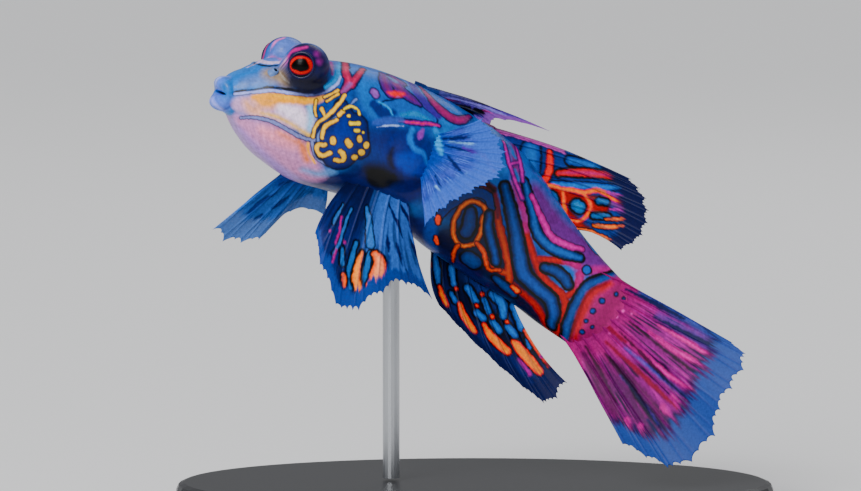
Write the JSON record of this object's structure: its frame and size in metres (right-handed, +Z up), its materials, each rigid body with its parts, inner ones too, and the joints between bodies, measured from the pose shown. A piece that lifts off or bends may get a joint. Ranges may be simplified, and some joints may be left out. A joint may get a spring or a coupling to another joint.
{
  "type": "mandarinfish model",
  "caption": "Life-size mandarinfish, nose raised, body arched, fins spread and tail hanging, held over an oval display base by a slim rod.",
  "frame": {"origin": "centre of the stand's underside", "axes": "+X towards the tail, fish looks towards -X, its left flank faces -Y, +Z up"},
  "size_m": [0.06, 0.036, 0.0487],
  "materials": {
    "skin": "wet satin, painted, blue with orange and magenta lines",
    "fin": "satin, painted, thin edges let light through",
    "eye": "clear gloss over a red iris and a black pupil",
    "stand_base": "black satin lacquer",
    "stand_rod": "fine brushed"
  },
  "bodies": {
    "root": {"head": "skin", "trunk": "skin", "tail_stalk": "skin", "upper_lip": "skin", "lower_lip": "skin", "eye_left": "eye", "eye_right": "eye", "dorsal_fin_first": "fin", "dorsal_fin_second": "fin", "anal_fin": "fin", "caudal_fin": "fin", "pectoral_fin_left": "fin", "pectoral_fin_right": "fin", "pelvic_fin_left": "fin", "pelvic_fin_right": "fin", "stand_base": "stand_base", "stand_rod": "stand_rod"}
  },
  "joints": []
}
